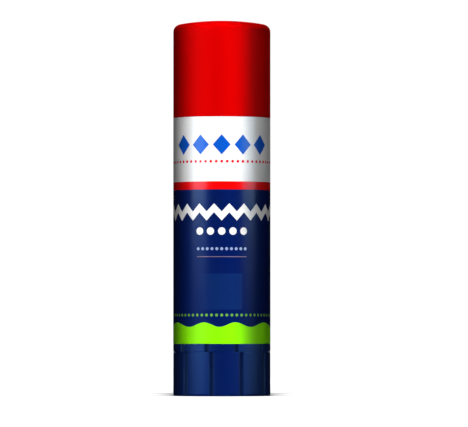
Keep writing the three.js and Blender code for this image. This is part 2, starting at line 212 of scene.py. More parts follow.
# Knob
# The turning base is one moulding in navy polypropylene: a cup with two grip rings, each with ten
# shallow flutes, a ring foot, and a hub on five ribs that is pressed on to the spindle's splines.
outside_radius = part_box("knob")[1].x
knob_height = 11.22 * mm
lower_grip_height = 7.05 * mm
grip_step = 0.02 * mm
knob_bore = 10.9 * mm
knob_floor = 1.9 * mm
hub_radius = 4.4 * mm
hub_top = 11.6 * mm
socket_radius = 2.62 * mm
socket_root = 2.22 * mm
spline_count = 8
knob_rib_count = 5
knob_rib_top = 6.9 * mm
knob_rib_thickness = mm
foot_width = 3.1 * mm
foot_round = 0.6 * mm
foot_inside = outside_radius - foot_round - foot_width
foot_recess = 0.5 * mm
foot_gate_radius = 0.5 * mm
foot_dimple_radius = 2 * mm
foot_dimple_depth = 0.35 * mm
flute_count = 10
flute_width = 1.3 * mm
lower_flute_depth = 0.32 * mm
upper_flute_depth = 0.45 * mm
knob_flutes_at = -12
navy = (0.0005, 0.007, 0.081)
navy_gloss_tint = (0.22, 0.52, 1, 1)
# How deep the painted shade in the flutes is, and how much duller the flutes are
painted_flute_shade = 0.6
flute_dullness = 0.6
fine_steps = 600
merge_distance = 0.0005 * mm


def turned(profile, steps):
    """A mesh turned round Z from corners given as (radius, height, rounding).

    Rings close beside each corner keep the long faces next to it from shading as if they curved. A corner
    whose rounding is None lies on a curve and gets none.
    """
    ring_gap = 0.05 * mm
    room_for_rings = 0.2 * mm
    small_rounding = 0.4 * mm
    shape = bmesh.new()
    rounded = []
    last = None
    for (radius, height, rounding), (next_radius, next_height, next_rounding) in zip(profile, profile[1:]):
        start, end = Vector((radius, 0, height)), Vector((next_radius, 0, next_height))
        along = (end - start).normalized()
        beside = []
        if rounding is not None:
            beside.append(start + along * (rounding + ring_gap))
        if next_rounding is not None:
            beside.append(end - along * (next_rounding + ring_gap))
        if (end - start).length < (rounding or 0) + (next_rounding or 0) + room_for_rings:
            beside = []
        corners = [last or shape.verts.new(start), *map(shape.verts.new, beside), shape.verts.new(end)]
        for pair in zip(corners, corners[1:]):
            shape.edges.new(pair)
        last = corners[-1]
        if next_rounding:
            rounded.append((last, next_rounding))
    for corner, rounding in rounded:
        segments = 4 if rounding < small_rounding else 10
        bmesh.ops.bevel(shape, geom=[corner], offset=rounding, segments=segments, profile=0.5,
                        affect="VERTICES", material=-1)
    sectors = 10
    sector = math.tau / sectors
    bmesh.ops.spin(shape, geom=shape.verts[:] + shape.edges[:], cent=(0, 0, 0), axis=(0, 0, 1),
                   angle=sector, steps=steps // sectors)
    bmesh.ops.spin(shape, geom=shape.verts[:] + shape.edges[:] + shape.faces[:], cent=(0, 0, 0),
                   axis=(0, 0, 1), angle=sector * (sectors - 1), steps=sectors - 1, use_duplicate=True)
    bmesh.ops.remove_doubles(shape, verts=shape.verts, dist=merge_distance)
    bmesh.ops.recalc_face_normals(shape, faces=shape.faces)
    return shape


def angle_from_nearest(corner, count, first_degrees=0):
    """How far a corner is turned from the nearest of some evenly spaced flutes, ribs or fins."""
    pitch = math.tau / count
    angle = math.atan2(corner.co.x, -corner.co.y) - math.radians(first_degrees)
    return abs((angle + pitch / 2) % pitch - pitch / 2)


def press_flutes(shape, surface, depth, bottom, top, first_degrees):
    """Presses round-bottomed grooves down the outside of a turned grip."""
    for corner in shape.verts:
        if bottom <= corner.co.z <= top:
            radius = math.hypot(corner.co.x, corner.co.y)
            across = angle_from_nearest(corner, flute_count, first_degrees) * surface / (flute_width / 2)
            floor = surface - depth * (1 - across ** 2)
            if across < 1 and radius > floor:
                corner.co.x *= floor / radius
                corner.co.y *= floor / radius


def finished(name, shape, material, body, *nodes, sharp_degrees=35):
    """Turns a bmesh into the visible piece that stands for CAD nodes and rides on a body."""
    bmesh.ops.dissolve_degenerate(shape, edges=shape.edges, dist=merge_distance)
    for edge in shape.edges:
        edge.smooth = edge.calc_face_angle(0) < math.radians(sharp_degrees)
    for face in shape.faces:
        face.smooth = True
    mesh = bpy.data.meshes.new(name)
    shape.to_mesh(mesh)
    shape.free()
    mesh.materials.append(material)
    piece = bpy.data.objects.new(name, mesh)
    bpy.context.collection.objects.link(piece)
    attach(piece, body)
    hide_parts(*nodes)
    return piece


def new_group(name, inputs, outputs):
    """A shader node group; returns it with its inside ends."""
    group = bpy.data.node_groups.new(name, "ShaderNodeTree")
    for label, kind, value in inputs:
        group.interface.new_socket(label, in_out="INPUT", socket_type=kind).default_value = value
    for label, kind in outputs:
        group.interface.new_socket(label, in_out="OUTPUT", socket_type=kind)
    return group, group.nodes.new("NodeGroupInput").outputs, group.nodes.new("NodeGroupOutput").inputs


def sum_of(tree, operation, *values):
    """What a maths node makes of some values, each a number or another node's output."""
    return made(tree, "ShaderNodeMath", values, operation=operation).outputs[0]


# Where a point is on the stick, in millimetres: round to the right of the front, above the table, and out
# from the middle
place_on_stick, _, place_out = new_group(
    "Place on the stick", [],
    [("Around", "NodeSocketFloat"), ("Height", "NodeSocketFloat"), ("Out", "NodeSocketFloat")])
at = made(place_on_stick, "ShaderNodeSeparateXYZ",
          (made(place_on_stick, "ShaderNodeTexCoord").outputs["Object"],)).outputs
angle_at = sum_of(place_on_stick, "ARCTAN2", at["X"], sum_of(place_on_stick, "MULTIPLY", at["Y"], -1.0))
place_on_stick.links.new(sum_of(place_on_stick, "MULTIPLY", angle_at, outside_radius / mm),
                         place_out["Around"])
place_on_stick.links.new(sum_of(place_on_stick, "DIVIDE", at["Z"], mm), place_out["Height"])
squared = [sum_of(place_on_stick, "POWER", sum_of(place_on_stick, "DIVIDE", at[way], mm), 2.0)
           for way in "XY"]
place_on_stick.links.new(sum_of(place_on_stick, "SQRT", sum_of(place_on_stick, "ADD", *squared)),
                         place_out["Out"])

# How far a point is inside a flute: 1 along its middle, 0 on the rounds between and inside the wall. Its
# widths and the wall are in millimetres too.
in_flute, in_flute_in, in_flute_out = new_group(
    "Inside a flute", [("First", "NodeSocketFloat", 0.0)], [("Mask", "NodeSocketFloat")])
flute_pitch = math.tau * outside_radius / mm / flute_count
shade_half_width = 1.3 * flute_width / 2 / mm
full_shade_half_width = 0.35
wall_under_flutes = 0.7
flute_place = made(in_flute, "ShaderNodeGroup", node_tree=place_on_stick).outputs
from_first = sum_of(in_flute, "SUBTRACT", flute_place["Around"], in_flute_in["First"])
from_flute = sum_of(in_flute, "PINGPONG", from_first, flute_pitch / 2)
flute_mask = made(in_flute, "ShaderNodeMapRange",
                  {"Value": from_flute, "From Min": shade_half_width, "From Max": full_shade_half_width},
                  interpolation_type="SMOOTHSTEP")
on_outside = sum_of(in_flute, "GREATER_THAN", flute_place["Out"], outside_radius / mm - wall_under_flutes)
in_flute.links.new(sum_of(in_flute, "MULTIPLY", flute_mask.outputs[0], on_outside), in_flute_out["Mask"])

# What every moulded face shares: cloudy pigment, faint upright drag marks from the mould, and grain
moulded, moulded_in, moulded_out = new_group(
    "Moulded surface",
    [("Colour", "NodeSocketColor", (1, 1, 1, 1)), ("Cloud", "NodeSocketFloat", 0.06),
     ("Roughness", "NodeSocketFloat", 0.4), ("Drag", "NodeSocketFloat", 0.3)],
    [("Colour", "NodeSocketColor"), ("Roughness", "NodeSocketFloat"), ("Height", "NodeSocketFloat")])
place = made(moulded, "ShaderNodeTexCoord").outputs["Object"]
clouds = made(moulded, "ShaderNodeTexNoise", {"Vector": place, "Scale": 90.0, "Detail": 3.0})
stretch = made(moulded, "ShaderNodeMapping", {"Vector": place, "Scale": (1.0, 1.0, 0.03)})
drag = made(moulded, "ShaderNodeTexNoise", {"Vector": stretch.outputs[0], "Scale": 1800.0, "Detail": 4.0})
grain = made(moulded, "ShaderNodeTexNoise", {"Vector": place, "Scale": 5200.0, "Detail": 2.0})
cloud_shift = sum_of(moulded, "MULTIPLY", sum_of(moulded, "SUBTRACT", clouds.outputs[0], 0.5),
                     moulded_in["Cloud"])
brightness = sum_of(moulded, "ADD", 1.0, cloud_shift)
shaded = made(moulded, "ShaderNodeVectorMath", {"Vector": moulded_in["Colour"], "Scale": brightness},
              operation="SCALE")
moulded.links.new(shaded.outputs[0], moulded_out["Colour"])
drag_shift = sum_of(moulded, "MULTIPLY", sum_of(moulded, "SUBTRACT", drag.outputs[0], 0.5),
                    moulded_in["Drag"])
rough_shift = sum_of(moulded, "ADD", moulded_in["Roughness"], sum_of(moulded, "MULTIPLY", drag_shift, 0.5))
moulded.links.new(rough_shift, moulded_out["Roughness"])
moulded.links.new(sum_of(moulded, "ADD", drag_shift, sum_of(moulded, "MULTIPLY", grain.outputs[0], 0.25)),
                  moulded_out["Height"])


def moulded_plastic(name, colour, cloud, roughness, drag_marks, relief, gloss):
    """Injection-moulded polypropylene in one colour. Relief is how deep its grain is, in metres."""
    material = bpy.data.materials.new(name)
    material.use_nodes = True
    tree = material.node_tree
    surface = made(tree, "ShaderNodeGroup",
                   {"Colour": (*colour, 1), "Cloud": cloud, "Roughness": roughness, "Drag": drag_marks},
                   node_tree=moulded)
    bump = made(tree, "ShaderNodeBump", {"Height": surface.outputs["Height"], "Distance": relief})
    shader = tree.nodes["Principled BSDF"]
    tree.links.new(surface.outputs["Colour"], shader.inputs["Base Color"])
    tree.links.new(surface.outputs["Roughness"], shader.inputs["Roughness"])
    tree.links.new(bump.outputs[0], shader.inputs["Normal"])
    shader.inputs["Specular IOR Level"].default_value = gloss
    return material


def navy_with_painted_flute_shade(name, first_degrees):
    """The navy plastic, darkened down in the flutes by painted shade, and duller there."""
    material = moulded_plastic(name, navy, cloud=0.1, roughness=0.38, drag_marks=0.3, relief=0.004 * mm,
                               gloss=0.52)
    tree = material.node_tree
    shader = tree.nodes["Principled BSDF"]
    shader.inputs["Specular Tint"].default_value = navy_gloss_tint
    flute = made(tree, "ShaderNodeGroup", {"First": math.radians(first_degrees) * outside_radius / mm},
                 node_tree=in_flute)
    # Painted shade: the colour is darkened along the flutes' middles
    shade = sum_of(tree, "MULTIPLY", flute.outputs["Mask"], painted_flute_shade)
    plain = shader.inputs["Base Color"].links[0].from_socket
    darker = made(tree, "ShaderNodeMix", {"Factor": shade, 6: plain, 7: (0, 0, 0, 1)}, data_type="RGBA",
                  blend_type="MULTIPLY")
    tree.links.new(darker.outputs[2], shader.inputs["Base Color"])
    smooth = shader.inputs["Roughness"].links[0].from_socket
    duller = sum_of(tree, "MULTIPLY", flute.outputs["Mask"], flute_dullness)
    tree.links.new(sum_of(tree, "ADD", smooth, duller), shader.inputs["Roughness"])
    return material


def press_splines(shape, crest, root, bottom, top):
    """Presses splines round a stub, or round its socket, that was turned at the crest's radius."""
    flank_top, flank_foot = 0.25, 0.75
    for corner in shape.verts:
        radius = math.hypot(corner.co.x, corner.co.y)
        if bottom <= corner.co.z <= top and abs(radius - crest) < 0.01 * mm:
            place = math.atan2(corner.co.y, corner.co.x) / (math.tau / spline_count)
            from_crest = 2 * abs((place + 0.5) % 1 - 0.5)
            rise = min(max((flank_foot - from_crest) / (flank_foot - flank_top), 0), 1)
            corner.co.x *= (root + (crest - root) * rise) / radius
            corner.co.y *= (root + (crest - root) * rise) / radius


def radial_bars(shape, count, first_degrees, inner, outer, thickness, bottom, top):
    """Adds plain bars between two radii, the first turned from the front, with softened edges."""
    softening = 0.08 * mm
    for number in range(count):
        bar = bmesh.ops.create_cube(shape, size=1)["verts"]
        bmesh.ops.scale(shape, verts=bar, vec=(thickness, outer - inner, top - bottom))
        bmesh.ops.translate(shape, verts=bar, vec=(0, -(inner + outer) / 2, (bottom + top) / 2))
        turn = math.radians(first_degrees) + math.tau * number / count
        bmesh.ops.rotate(shape, verts=bar, cent=(0, 0, 0), matrix=Matrix.Rotation(turn, 3, "Z"))
        edges = list({edge for corner in bar for edge in corner.link_edges})
        bmesh.ops.bevel(shape, geom=edges, offset=softening, segments=2, profile=0.5, affect="EDGES",
                        material=-1)


knob_shape = turned([
    (0, foot_recess + 0.05 * mm, 0),
    (foot_gate_radius, foot_recess + 0.05 * mm, 0),
    (foot_gate_radius + 0.2 * mm, foot_recess + foot_dimple_depth, 0.1 * mm),
    (foot_dimple_radius - 0.3 * mm, foot_recess + foot_dimple_depth, 0.1 * mm),
    (foot_dimple_radius, foot_recess, 0.1 * mm),
    (foot_inside - foot_recess, foot_recess, 0.2 * mm),
    (foot_inside, 0, 0.2 * mm),
    (outside_radius, 0, foot_round),
    (outside_radius, lower_grip_height, 0),
    (outside_radius - grip_step, lower_grip_height, 0),
    (outside_radius - grip_step, knob_height, 0.05 * mm),
    (knob_bore, knob_height, 0.15 * mm),
    (knob_bore, knob_floor, 0.3 * mm),
    (hub_radius, knob_floor, 0.3 * mm),
    (hub_radius, hub_top, 0.25 * mm),
    (socket_radius, hub_top, 0),
    (socket_radius, knob_floor, 0),
    (0, knob_floor, 0),
], fine_steps)
press_splines(knob_shape, socket_radius, socket_root, knob_floor, hub_top)
press_flutes(knob_shape, outside_radius, lower_flute_depth, -mm, lower_grip_height - 0.01 * mm,
             knob_flutes_at)
press_flutes(knob_shape, outside_radius - grip_step, upper_flute_depth, lower_grip_height - 0.01 * mm,
             knob_height + mm, knob_flutes_at)
radial_bars(knob_shape, knob_rib_count, 0, hub_radius - 0.2 * mm, knob_bore + 0.4 * mm, knob_rib_thickness,
            knob_floor - 0.5 * mm, knob_rib_top)
knob = finished("knob_moulding", knob_shape, navy_with_painted_flute_shade("navy polypropylene, knob", knob_flutes_at),
                "knob", "knob")

# Spindle
# The left-handed lead screw is one moulding in natural polypropylene: a splined stub pressed into the
# knob's hub, a journal in the barrel's floor, a thrust flange, and a single thread that lifts the carrier.
screw_lead = 4 * mm
screw_core = 2.3 * mm
screw_crest = 3.5 * mm
screw_steps = 90
thread_start = 15.2 * mm
thread_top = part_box("spindle")[1].z
thread_run = 1.5 * mm
thread_foot_half_width = 0.85 * mm
thread_crest_half_width = 0.6 * mm
thread_round = 0.12 * mm
tip_radius = 1.2 * mm
stub_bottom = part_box("spindle")[0].z
stub_radius = 2.5 * mm
stub_root = 2.1 * mm
stub_chamfer = 0.4 * mm
journal_radius = 2.6 * mm
flange_radius = 5 * mm
flange_top = 14.6 * mm
flange_bottom = flange_top - mm


def put_into(shape, extra):
    """Moves a second bmesh into the first."""
    carried = bpy.data.meshes.new("carried")
    extra.to_mesh(carried)
    extra.free()
    shape.from_mesh(carried)
    bpy.data.meshes.remove(carried)


spindle_shape = turned([
    (0, stub_bottom, 0),
    (stub_radius - 0.2 * mm, stub_bottom, 0),
    (stub_radius, stub_bottom + stub_chamfer, 0),
    (stub_radius, hub_top, 0),
    (journal_radius, hub_top, 0),
    (journal_radius, flange_bottom, 0.1 * mm),
    (flange_radius, flange_bottom, 0.15 * mm),
    (flange_radius, flange_top, 0.15 * mm),
    (screw_core, flange_top, 0.2 * mm),
    (screw_core, thread_start + 0.3 * mm, 0),
    (0, thread_start + 0.3 * mm, 0),
], steps=160)
press_splines(spindle_shape, stub_radius, stub_root, stub_bottom + stub_chamfer, hub_top - 0.01 * mm)

thread = bmesh.new()
turns = math.ceil((thread_top - thread_start) / screw_lead)
outline = [thread.verts.new((radius, 0, thread_start + number * screw_lead + height))
           for number in range(-2, turns + 3)
           for radius, height in (
               (screw_core, -thread_foot_half_width), (screw_crest, -thread_crest_half_width),
               (screw_crest, thread_crest_half_width), (screw_core, thread_foot_half_width))]
for pair in zip(outline, outline[1:]):
    thread.edges.new(pair)
bmesh.ops.bevel(thread, geom=outline[1:-1], offset=thread_round, segments=2, profile=0.5,
                affect="VERTICES", material=-1)
bmesh.ops.spin(thread, geom=thread.verts[:] + thread.edges[:], cent=(0, 0, 0), axis=(0, 0, 1),
               dvec=(0, 0, -screw_lead / screw_steps), angle=math.tau, steps=screw_steps)
bmesh.ops.remove_doubles(thread, verts=thread.verts, dist=0.001 * mm)
# The thread is cut off level at both ends, and gets rings of corners where it starts to taper
for height, removed in ((thread_start, "below"), (thread_top, "above"), (thread_start + thread_run, None),
                        (thread_top - thread_run, None), (thread_top - thread_run / 2, None)):
    cut = bmesh.ops.bisect_plane(thread, geom=thread.verts[:] + thread.edges[:] + thread.faces[:],
                                 plane_co=(0, 0, height), plane_no=(0, 0, 1), dist=0.0001 * mm,
                                 clear_inner=removed == "below", clear_outer=removed == "above")
    if removed:
        rim = [piece for piece in cut["geom_cut"] if isinstance(piece, bmesh.types.BMEdge)]
        bmesh.ops.holes_fill(thread, edges=rim, sides=0)
for corner in thread.verts:
    run_in = screw_core + (screw_crest - screw_core) * (corner.co.z - thread_start) / thread_run
    run_out = tip_radius + (screw_crest - tip_radius) * (thread_top - corner.co.z) / thread_run
    limit = max(min(run_in, run_out), tip_radius)
    radius = math.hypot(corner.co.x, corner.co.y)
    if radius > limit:
        corner.co.x *= limit / radius
        corner.co.y *= limit / radius
bmesh.ops.recalc_face_normals(thread, faces=thread.faces)
put_into(spindle_shape, thread)
natural_plastic = moulded_plastic("natural polypropylene", (0.78, 0.78, 0.73), cloud=0.05, roughness=0.45,
                                  drag_marks=0.3, relief=0.004 * mm, gloss=0.3)
spindle = finished("lead_screw", spindle_shape, natural_plastic, "knob", "spindle")

# Carrier
# The cup that holds the glue is moulded in the same natural polypropylene. The nut in its middle runs on
# the screw, its skirt slides on the barrel's ribs, and four fins key the glue.
bore_radius = 10.4 * mm
rib_proud = 0.45 * mm
rib_width = 0.8 * mm
rib_count = 6
rib_gap = 0.3 * mm
carrier_bottom, carrier_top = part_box("carrier")[0].z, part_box("carrier")[1].z
skirt_inside = 9 * mm
skirt_radius = 9.9 * mm
lip_radius = 10.1 * mm
lip_height = 0.8 * mm
lip_slope = 0.2 * mm
nut_radius = 4.95 * mm
nut_bore = 3.85 * mm
nut_bottom = 14.9 * mm
nut_top = 22 * mm
nut_ridge_foot = nut_bore + 0.2 * mm
nut_ridge_crest = 2.65 * mm
nut_ridge_foot_half_width = 0.95 * mm
nut_ridge_crest_half_width = 0.65 * mm
nut_ridge_margin = 0.97 * mm
disc_top = 17.6 * mm
disc_bottom = disc_top - 1.2 * mm
fin_count = 4
fin_first_degrees = 45
fin_thickness = 0.9 * mm
fin_top = disc_top + 3 * mm


def from_rib(corner):
    """How far a corner is round the bore from the middle of the nearest guide rib."""
    return angle_from_nearest(corner, rib_count) * bore_radius


def clear_ribs(shape):
    """Presses channels that leave a gap round the guide ribs."""
    channel_floor = bore_radius - rib_proud - rib_gap
    for corner in shape.verts:
        radius = math.hypot(corner.co.x, corner.co.y)
        if radius > channel_floor and from_rib(corner) < rib_width / 2 + rib_gap:
            corner.co.x *= channel_floor / radius
            corner.co.y *= channel_floor / radius


carrier_shape = turned([
    (nut_bore, nut_bottom, 0),
    (nut_radius, nut_bottom, 0.15 * mm),
    (nut_radius, disc_bottom, 0.2 * mm),
    (skirt_inside, disc_bottom, 0.2 * mm),
    (skirt_inside, carrier_bottom, 0.15 * mm),
    (lip_radius, carrier_bottom, 0.12 * mm),
    (lip_radius, carrier_bottom + lip_height, 0.05 * mm),
    (skirt_radius, carrier_bottom + lip_height + lip_slope, 0.05 * mm),
    (skirt_radius, carrier_top - lip_height - lip_slope, 0.05 * mm),
    (lip_radius, carrier_top - lip_height, 0.05 * mm),
    (lip_radius, carrier_top, 0.12 * mm),
    (skirt_inside, carrier_top, 0.15 * mm),
    (skirt_inside, disc_top, 0.2 * mm),
    (nut_radius, disc_top, 0.2 * mm),
    (nut_radius, nut_top, 0.15 * mm),
    (nut_bore, nut_top, 0.1 * mm),
    (nut_bore, nut_bottom, 0),
], steps=480)
clear_ribs(carrier_shape)
radial_bars(carrier_shape, fin_count, fin_first_degrees, nut_radius - 0.3 * mm, skirt_inside + 0.3 * mm,
            fin_thickness, disc_top - 0.4 * mm, fin_top)
# The nut's ridge is turned so that it lies midway between the screw's ridges
tap = bmesh.new()
tap_top = nut_top - nut_ridge_margin
tap_turns = (tap_top - nut_bottom - nut_ridge_margin) / screw_lead
tap_steps = round(screw_steps * tap_turns)
tap_first = math.tau * (thread_start + 1.5 * screw_lead - tap_top) / screw_lead
ridge = [tap.verts.new((radius, 0, tap_top + height)) for radius, height in (
    (nut_ridge_foot, -nut_ridge_foot_half_width), (nut_ridge_crest, -nut_ridge_crest_half_width),
    (nut_ridge_crest, nut_ridge_crest_half_width), (nut_ridge_foot, nut_ridge_foot_half_width))]
ridge_face = tap.faces.new(ridge)
bmesh.ops.rotate(tap, verts=ridge, cent=(0, 0, 0), matrix=Matrix.Rotation(tap_first, 3, "Z"))
bmesh.ops.spin(tap, geom=[ridge_face, *ridge_face.edges, *ridge], cent=(0, 0, 0), axis=(0, 0, 1),
               dvec=(0, 0, -screw_lead * tap_turns / tap_steps), angle=math.tau * tap_turns, steps=tap_steps)
bmesh.ops.recalc_face_normals(tap, faces=tap.faces)
put_into(carrier_shape, tap)
carrier = finished("glue_carrier", carrier_shape, natural_plastic, "carrier", "carrier")

# Barrel
# The barrel is a navy polypropylene tube with a thin neck, moulded in one with its fluted collar, its
# floor and six guide ribs in the bore. The label sits in a shallow step between collar and shoulder.
collar_bottom = 11.3 * mm
collar_top = 13.3 * mm
shoulder = 71.36 * mm
mouth = 88.6 * mm
label_seat = 12.35 * mm
neck_radius = 11.2 * mm
bead_middle = 75.2 * mm
bead_rise = 0.15 * mm
bead_half_width = 0.5 * mm
bead_crest_half_width = 0.15 * mm
bearing_radius = 2.9 * mm
floor_bottom = 11.9 * mm
spigot_radius = 10.6 * mm
spigot_inside = 9.4 * mm
spigot_bottom = 8.75 * mm
rib_top = mouth - 4 * mm
collar_step_radius = outside_radius - 0.3 * mm
collar_step = collar_bottom - 0.06 * mm
collar_flute_depth = 0.35 * mm
collar_flutes_at = -18

barrel_shape = turned([
    (bearing_radius, collar_top, 0),
    (bearing_radius, floor_bottom, 0),
    (spigot_inside, floor_bottom, 0.2 * mm),
    (spigot_inside, spigot_bottom, 0.15 * mm),
    (spigot_radius, spigot_bottom, 0.25 * mm),
    (spigot_radius, collar_step, 0),
    (collar_step_radius, collar_step, 0),
    (collar_step_radius + 0.02 * mm, collar_bottom, 0),
    (outside_radius, collar_bottom, 0.05 * mm),
    (outside_radius, collar_top, 0.03 * mm),
    (label_seat, collar_top, 0),
    (label_seat, shoulder, 0.1 * mm),
    (neck_radius, shoulder, 0.15 * mm),
    (neck_radius, bead_middle - bead_half_width, 0.1 * mm),
    (neck_radius + bead_rise, bead_middle - bead_crest_half_width, 0.1 * mm),
    (neck_radius + bead_rise, bead_middle + bead_crest_half_width, 0.1 * mm),
    (neck_radius, bead_middle + bead_half_width, 0.1 * mm),
    (neck_radius, mouth, 0.4 * mm),
    (bore_radius, mouth, 0.25 * mm),
    (bore_radius, rib_top, 0),
    (bore_radius, rib_top - 1.2 * mm, 0),
    (bore_radius, collar_top, 0),
    (bearing_radius, collar_top, 0),
], fine_steps)
press_flutes(barrel_shape, outside_radius, collar_flute_depth, collar_bottom - 0.1 * mm,
             collar_top + 0.05 * mm, collar_flutes_at)
# The guide ribs are drawn inwards from the bore, and slope back into it at their tops
for corner in barrel_shape.verts:
    radius = math.hypot(corner.co.x, corner.co.y)
    if abs(radius - bore_radius) < 0.01 * mm and corner.co.z < rib_top - mm:
        if from_rib(corner) < rib_width / 2:
            corner.co.x *= 1 - rib_proud / radius
            corner.co.y *= 1 - rib_proud / radius
barrel = finished("barrel_moulding", barrel_shape,
                  navy_with_painted_flute_shade("navy polypropylene, barrel", collar_flutes_at), "barrel", "barrel")

# Glue
# The adhesive is cast in the carrier: a waxy white stick with a softly rounded top. It is hollow round the
# screw and the nut, slotted by the carrier's fins and grooved by the barrel's ribs.
glue_radius = 10.1 * mm
glue_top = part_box("glue")[1].z
glue_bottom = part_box("glue")[0].z
glue_bore = 3.8 * mm
glue_bore_top = 81.5 * mm
glue_bore_tip = 83 * mm
round_nut_radius = 5.25 * mm
round_nut_top = 22.3 * mm
in_cup_radius = 8.7 * mm
in_cup_top = 22.9 * mm
fin_gap = 0.3 * mm
slot_half_angle = (fin_thickness / 2 + fin_gap) / round_nut_radius
glue_wax = moulded_plastic("waxy glue", (0.86, 0.84, 0.75), cloud=0.08, roughness=0.5, drag_marks=0.15,
                           relief=0.02 * mm, gloss=0.3)
glue_shader = glue_wax.node_tree.nodes["Principled BSDF"]
glue_shader.inputs["Subsurface Weight"].default_value = 0.3
glue_shader.inputs["Subsurface Scale"].default_value = 1.5 * mm
glue_shader.inputs["Subsurface Radius"].default_value = (1, 0.9, 0.7)
glue_shape = turned([
    (0, glue_bore_tip, 0),
    (glue_bore, glue_bore_top, 0),
    (glue_bore, round_nut_top, 0),
    (round_nut_radius, round_nut_top, 0),
    (round_nut_radius, glue_bottom, 0),
    (in_cup_radius, glue_bottom, 0),
    (in_cup_radius, in_cup_top, 0),
    (glue_radius, in_cup_top, 0.1 * mm),
    (glue_radius, glue_top - 0.3 * mm, mm),
    (glue_radius * 0.7, glue_top - 0.15 * mm, None),
    (glue_radius * 0.35, glue_top - 0.04 * mm, None),
    (0, glue_top, None),
], fine_steps)
clear_ribs(glue_shape)
# Slots in the glue leave a gap round the carrier's fins
for corner in glue_shape.verts:
    if corner.co.z < glue_bottom + 0.1 * mm:
        if angle_from_nearest(corner, fin_count, fin_first_degrees) < slot_half_angle:
            corner.co.z += fin_top + fin_gap - glue_bottom
glue = finished("glue_stick", glue_shape, glue_wax, "carrier", "glue")

# Label
# A printed film under gloss varnish, wound once round the barrel. Its outer end climbs over the inner
# end at the back. All its print is plain pattern: bands, a wave, rows of marks and a zigzag.
label_bottom = 13.35 * mm
label_top = 71.34 * mm
film = 0.1 * mm
film_gap = 0.05 * mm
film_inside = label_seat + film_gap
overlap_degrees = 12
climb_degrees = 6
label_degrees = 360 + overlap_degrees

label_shape = bmesh.new()
section = [label_shape.verts.new((0, radius, height)) for radius, height in (
    (film_inside, label_bottom), (film_inside + film, label_bottom),
    (film_inside + film, label_top), (film_inside, label_top))]
section_face = label_shape.faces.new(section)
bmesh.ops.spin(label_shape, geom=[section_face, *section_face.edges, *section], cent=(0, 0, 0),
               axis=(0, 0, 1), angle=math.radians(label_degrees), steps=label_degrees)
label_shape.verts.ensure_lookup_table()
# The last degrees of the turn ease outwards over the first ones
for index, corner in enumerate(label_shape.verts):
    turned_by = index // len(section)
    climbed = min(max((turned_by - 360 + climb_degrees) / climb_degrees, 0), 1)
    rise = climbed ** 2 * (3 - 2 * climbed) * (film + film_gap)
    radius = math.hypot(corner.co.x, corner.co.y)
    corner.co.x *= 1 + rise / radius
    corner.co.y *= 1 + rise / radius
bmesh.ops.recalc_face_normals(label_shape, faces=label_shape.faces)

ink_edge = 0.05


def inside_of(tree, distance):
    """A mask that is 1 where a distance inside an ink edge is positive."""
    shifted = sum_of(tree, "ADD", sum_of(tree, "DIVIDE", distance, ink_edge), 0.5)
    return made(tree, "ShaderNodeClamp", (shifted,)).outputs[0]


# A printed band between two heights
band, band_in, band_out = new_group(
    "Printed band",
    [("Height", "NodeSocketFloat", 0), ("From", "NodeSocketFloat", 0), ("To", "NodeSocketFloat", 1)],
    [("Mask", "NodeSocketFloat")])
above = inside_of(band, sum_of(band, "SUBTRACT", band_in["Height"], band_in["From"]))
below = inside_of(band, sum_of(band, "SUBTRACT", band_in["To"], band_in["Height"]))
band.links.new(sum_of(band, "MULTIPLY", above, below), band_out["Mask"])

# A row of like marks centred on the front: power 1 makes diamonds and power 2 makes round dots
marks, marks_in, marks_out = new_group(
    "Row of marks",
    [("Around", "NodeSocketFloat", 0), ("Height", "NodeSocketFloat", 0), ("Middle", "NodeSocketFloat", 0),
     ("Pitch", "NodeSocketFloat", 1), ("Half width", "NodeSocketFloat", 0.4),
     ("Half height", "NodeSocketFloat", 0.4), ("Power", "NodeSocketFloat", 2),
     ("Reach", "NodeSocketFloat", 10)],
    [("Mask", "NodeSocketFloat")])
number = sum_of(marks, "ROUND", sum_of(marks, "DIVIDE", marks_in["Around"], marks_in["Pitch"]))
along = sum_of(marks, "SUBTRACT", marks_in["Around"], sum_of(marks, "MULTIPLY", number, marks_in["Pitch"]))
up = sum_of(marks, "SUBTRACT", marks_in["Height"], marks_in["Middle"])
along = sum_of(marks, "ABSOLUTE", sum_of(marks, "DIVIDE", along, marks_in["Half width"]))
up = sum_of(marks, "ABSOLUTE", sum_of(marks, "DIVIDE", up, marks_in["Half height"]))
power_sum = sum_of(marks, "ADD", sum_of(marks, "POWER", along, marks_in["Power"]),
                   sum_of(marks, "POWER", up, marks_in["Power"]))
from_centre = sum_of(marks, "POWER", power_sum, sum_of(marks, "DIVIDE", 1.0, marks_in["Power"]))
in_mark = inside_of(marks, sum_of(marks, "MULTIPLY", sum_of(marks, "SUBTRACT", 1.0, from_centre),
                                  marks_in["Half width"]))
in_reach = sum_of(marks, "LESS_THAN", sum_of(marks, "ABSOLUTE", marks_in["Around"]), marks_in["Reach"])
marks.links.new(sum_of(marks, "MULTIPLY", in_mark, in_reach), marks_out["Mask"])

